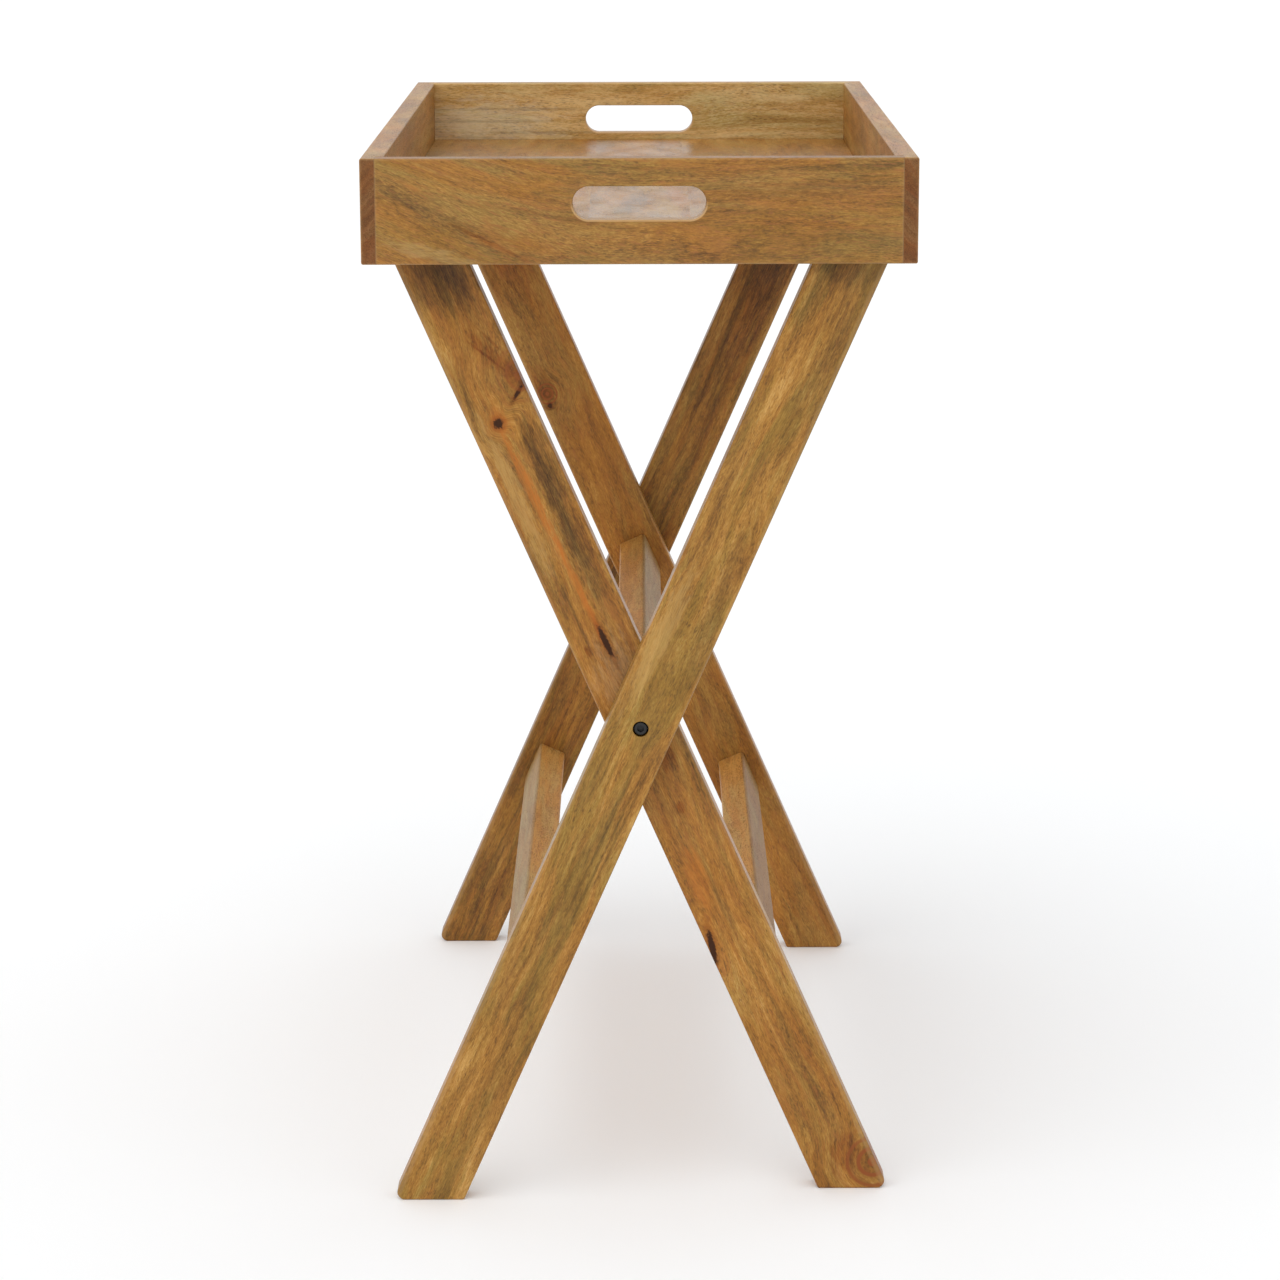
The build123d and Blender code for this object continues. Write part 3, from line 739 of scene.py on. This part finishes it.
finish_node("tray_end_front", mango(
    "Mango tray end front", box_middle("tray_end_front"), (1, 0, 0), (0, 0, 1), END_HALF,
    board_grain(
        seed=8.0, pith=(-52.0, 60.0), ring_width=5.0, olive=0.4, red=0.85, tone=0.41, figure=0.35),
    sweep=(-60.0, 0.40), face_shade_and_cast=(0.40, PALE_COOL_CAST), hole=HAND_HOLE,
    tints=[(-150.0, -30.0, 34.0, 5.0, -0.2, HONEY, 0.35)],
    shades=[
        # dark bands that follow the sloping grain at the left
        (-170.0, 9.0, 22.0, 5.0, -0.25, OLIVE_SHADE, 0.45),
        (-140.0, -5.0, 40.0, 3.5, -0.40, OLIVE_SHADE, 0.50),
        (-112.0, -20.0, 30.0, 1.6, -0.45, RUST_SHADE, 0.70),
        (-125.0, -17.0, 30.0, 1.2, -0.45, OLIVE_SHADE, 0.60),
        (-60.0, -4.0, 70.0, 1.6, -0.16, OLIVE_SHADE, 0.50),
        (-98.0, -22.0, 44.0, 9.0, -0.25, RUST_SHADE, 0.24),
        # olive cloud at the upper right
        (70.0, 14.0, 60.0, 6.0, 0.06, OLIVE_SHADE, 0.35),
        (140.0, 18.0, 45.0, 6.0, 0.06, OLIVE_SHADE, 0.40),
    ]))
finish_node("tray_end_back", mango(
    "Mango tray end back", box_middle("tray_end_back"), (1, 0, 0), (0, 0, 1), END_HALF,
    board_grain(
        seed=9.0, pith=(55.0, -50.0), ring_width=6.0, olive=0.40, red=0.45, tone=0.80, figure=0.8),
    face_shade_and_cast=(1.0, PALE_COOL_CAST), hole=HAND_HOLE,
    tints=[(-150.0, 0.0, 70.0, 22.0, 0.0, PALE, 0.35)],
    shades=[
        # rusty bands at the right, and thin dark lines at the left
        (90.0, -14.0, 80.0, 3.0, 0.0, RUST_SHADE, 0.55),
        (140.0, 4.0, 50.0, 2.0, 0.0, RUST_SHADE, 0.45),
        (-100.0, 15.0, 60.0, 1.4, 0.0, OLIVE_SHADE, 0.60),
        (-130.0, 4.0, 60.0, 1.4, 0.0, OLIVE_SHADE, 0.50),
        (-80.0, -6.0, 60.0, 1.4, 0.0, OLIVE_SHADE, 0.50),
    ]))

# ------------------------------------------------------------------ tray sides
# The two long walls, mango boards the full length of the tray. Their sawn ends show as a
# darker strip at each corner, outside the rebate.

side_low, side_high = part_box("tray_side_left")
SIDE_HALF = (
    (side_high.y - side_low.y) / 2 / MILLIMETRE,
    (side_high.z - side_low.z) / 2 / MILLIMETRE,
    HALF_WALL)
for node, seed, pith_across in (("tray_side_left", 10.0, -46.0), ("tray_side_right", 11.0, 52.0)):
    finish_node(node, mango(
        "Mango " + node.replace("_", " "), box_middle(node), (0, 1, 0), (0, 0, 1), SIDE_HALF,
        board_grain(
            seed, pith=(pith_across, 40.0), ring_width=6.0, olive=0.25, red=0.85, tone=0.66)))

# ------------------------------------------------------------------ tray floor
# Boards of mango edge-glued side by side, their lower half in a groove round the walls,
# sanded flush and lacquered, so that they take pale reflections at a low angle.

HALF_FLOOR = 6.0

# node, seed, pith across, tone, tints and shades of each board
FLOOR_BOARDS = (
    ("floor_board_1", 12.0, 30.0, 0.52, (), ()),
    ("floor_board_2", 13.0, -24.0, 0.57, (
        (-120.0, -20.0, 80.0, 14.0, 0.0, ORANGE, 0.30),
    ), ()),
    ("floor_board_3", 14.0, 8.0, 0.55, (
        (-235.0, -22.0, 70.0, 9.0, 0.06, HONEY, 0.70),
        (-150.0, -30.0, 60.0, 7.0, 0.04, ORANGE, 0.45),
    ), (
        (-185.0, 2.0, 75.0, 9.0, -0.03, OLIVE_SHADE, 0.80),
        (-215.0, 12.0, 50.0, 6.0, 0.0, OLIVE_SHADE, 0.60),
    )),
    ("floor_board_4", 15.0, 40.0, 0.58, (
        (-200.0, 14.0, 60.0, 8.0, 0.05, ORANGE, 0.40),
    ), ()),
    ("floor_board_5", 16.0, -35.0, 0.53, (), ()),
)
for node, seed, pith_across, tone, tints, shades in FLOOR_BOARDS:
    low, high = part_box(node)
    half = ((high.y - low.y) / 2 / MILLIMETRE, (high.x - low.x) / 2 / MILLIMETRE, HALF_FLOOR)
    finish_node(node, mango(
        "Mango " + node.replace("_", " "), box_middle(node), (0, 1, 0), (-1, 0, 0), half,
        board_grain(
            seed, pith=(pith_across, -55.0), ring_width=6.5, olive=0.3, red=0.75, tone=tone,
            figure=0.8),
        tints=tints, shades=shades, wear=0.0, sheen=0.45))

# ------------------------------------------------------------------ dowels
# Fluted beech dowels, glued into the legs and the rails. They are hidden when the stand
# is together.


def plain(name, colour, roughness, metallic=0.0, fleck=0.06, scale=900.0):
    """A hard finish with a fine uneven tone and roughness."""
    material = bpy.data.materials.new(name)
    material.use_nodes = True
    tree = material.node_tree
    tree.nodes.clear()
    grain = place(tree, "ShaderNodeTexNoise", None, {
        "Vector": tree.nodes.new("ShaderNodeTexCoord").outputs["Object"],
        "Scale": scale,
        "Detail": 4.0}).outputs["Fac"]
    dark = tuple(channel * (1 - 4 * fleck) for channel in colour)
    tone = blend_colours(tree, rise(tree, grain, 0.35, 0.65), dark, colour)
    rough = rise(tree, grain, 0.3, 0.7, roughness + fleck, roughness - fleck)
    bump = place(tree, "ShaderNodeBump", None, {
        "Height": grain, "Strength": 0.15, "Distance": 0.0001})
    shader = place(tree, "ShaderNodeBsdfPrincipled", None, {
        "Base Color": tone, "Roughness": rough, "Metallic": metallic, "Normal": bump.outputs[0]})
    output = tree.nodes.new("ShaderNodeOutputMaterial")
    tree.links.new(shader.outputs[0], output.inputs["Surface"])
    return material


beech = plain("Beech dowel", (0.62, 0.42, 0.24), 0.6)
for node in ("outer_rail_dowels", "inner_rail_dowels", "pivot_rail_dowels"):
    finish_node(node, beech)

# ------------------------------------------------------------------ pivot bolts, washers and nuts
# Black oxide socket head bolts with a washer under each head, a black nylon spacer
# between the legs, and zinc plated cross nuts in the pivot rail.

black_steel = plain("Black oxide steel", (0.028, 0.027, 0.027), 0.34, 0.55)
nylon = plain("Black nylon", (0.030, 0.030, 0.032), 0.5)
zinc = plain("Zinc plate", (0.62, 0.62, 0.64), 0.32, 1.0)
for end in ("front", "back"):
    finish_node("pivot_bolt_" + end, black_steel)
    finish_node("head_washer_" + end, black_steel)
    finish_node("spacer_washer_" + end, nylon)
    finish_node("cross_nut_" + end, zinc)

# ------------------------------------------------------------------ corner pins
# Headless steel pins through the side panels into the end panels, punched just below
# the face.

finish_node("corner_pins", plain("Pin steel", (0.45, 0.44, 0.43), 0.4, 1.0))

# ------------------------------------------------------------------ the studio
# A pale floor that runs out to a white surround, one big soft light high in front and to
# the left, and the camera at about elbow height, looking down a little.

FLOOR_REACH = 30
floor_corners = [
    (-FLOOR_REACH, -FLOOR_REACH, 0),
    (FLOOR_REACH, -FLOOR_REACH, 0),
    (FLOOR_REACH, FLOOR_REACH, 0),
    (-FLOOR_REACH, FLOOR_REACH, 0),
]
floor_mesh = bpy.data.meshes.new("studio_floor")
floor_mesh.from_pydata(floor_corners, [], [(0, 1, 2, 3)])
floor_mesh.materials.append(
    plain("Pale floor", (0.96, 0.96, 0.96), 0.7, fleck=0.0, scale=3.0))
studio_floor = bpy.data.objects.new("studio_floor", floor_mesh)
bpy.context.scene.collection.objects.link(studio_floor)
studio_floor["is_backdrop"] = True

world = bpy.data.worlds.new("White surround")
bpy.context.scene.world = world
world.use_nodes = True
surround = world.node_tree.nodes["Background"]
surround.inputs["Color"].default_value = (0.96, 0.98, 1.0, 1.0)
surround.inputs["Strength"].default_value = 0.92

LIGHT_DIRECTION = Vector((0.5, 0.75, -1.1))
overhead = bpy.data.lights.new("soft_overhead", "SUN")
overhead.energy = 0.9
overhead.angle = math.radians(70.0)
overhead.color = (1.0, 0.985, 0.96)
overhead_holder = bpy.data.objects.new("soft_overhead", overhead)
overhead_holder.rotation_euler = LIGHT_DIRECTION.to_track_quat("-Z", "Y").to_euler()
bpy.context.scene.collection.objects.link(overhead_holder)

CAMERA_PLACE = (-0.0003, -2.9171, 1.0525)
LOOKING_DOWN = math.radians(13.27)
CAMERA_TILT = math.radians(-0.14)
camera_data = bpy.data.cameras.new("camera")
camera_data.sensor_width = 36.0
camera_data.lens = 100.86
camera = bpy.data.objects.new("camera", camera_data)
bpy.context.scene.collection.objects.link(camera)
camera.matrix_world = (
    Matrix.Translation(CAMERA_PLACE)
    @ Matrix.Rotation(math.pi / 2 - LOOKING_DOWN, 4, "X")
    @ Matrix.Rotation(CAMERA_TILT, 4, "Z")
)
bpy.context.scene.camera = camera
bpy.context.scene.view_settings.view_transform = "Standard"

low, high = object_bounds()
